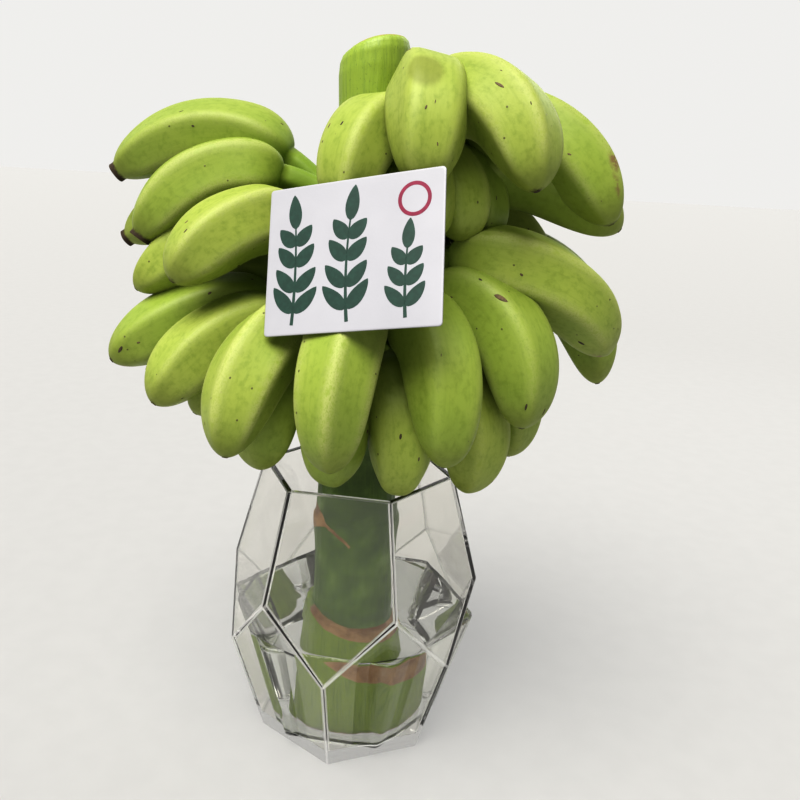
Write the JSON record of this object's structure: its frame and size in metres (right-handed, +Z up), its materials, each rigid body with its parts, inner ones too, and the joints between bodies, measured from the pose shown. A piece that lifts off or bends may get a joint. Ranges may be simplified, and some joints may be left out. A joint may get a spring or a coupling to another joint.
{
  "type": "banana bunch in a vase",
  "caption": "Whole bunch of short green bananas on its cut stalk, standing in a faceted clear glass vase of water, with a plain card leaning on the fruit.",
  "frame": {"origin": "centre of the vase's flat foot, on the surface that it stands on", "axes": "+Z up along the stalk, the card on the -Y side, which is the front, and +X to a viewer's right from there"},
  "size_m": [0.2567, 0.2205, 0.353],
  "materials": {
    "banana_skin": "waxy satin skin, yellow-green to olive, with dark blunt tips and small specks",
    "clear_glass": "clear polished pressed glass with bevelled edges",
    "water": "clear still water",
    "white_card": "smooth white with a dark green leaf pattern"
  },
  "bodies": {
    "root": {"banana_bunch": "banana_skin", "glass_vase": "clear_glass", "water": "water", "card": "white_card"}
  },
  "joints": []
}
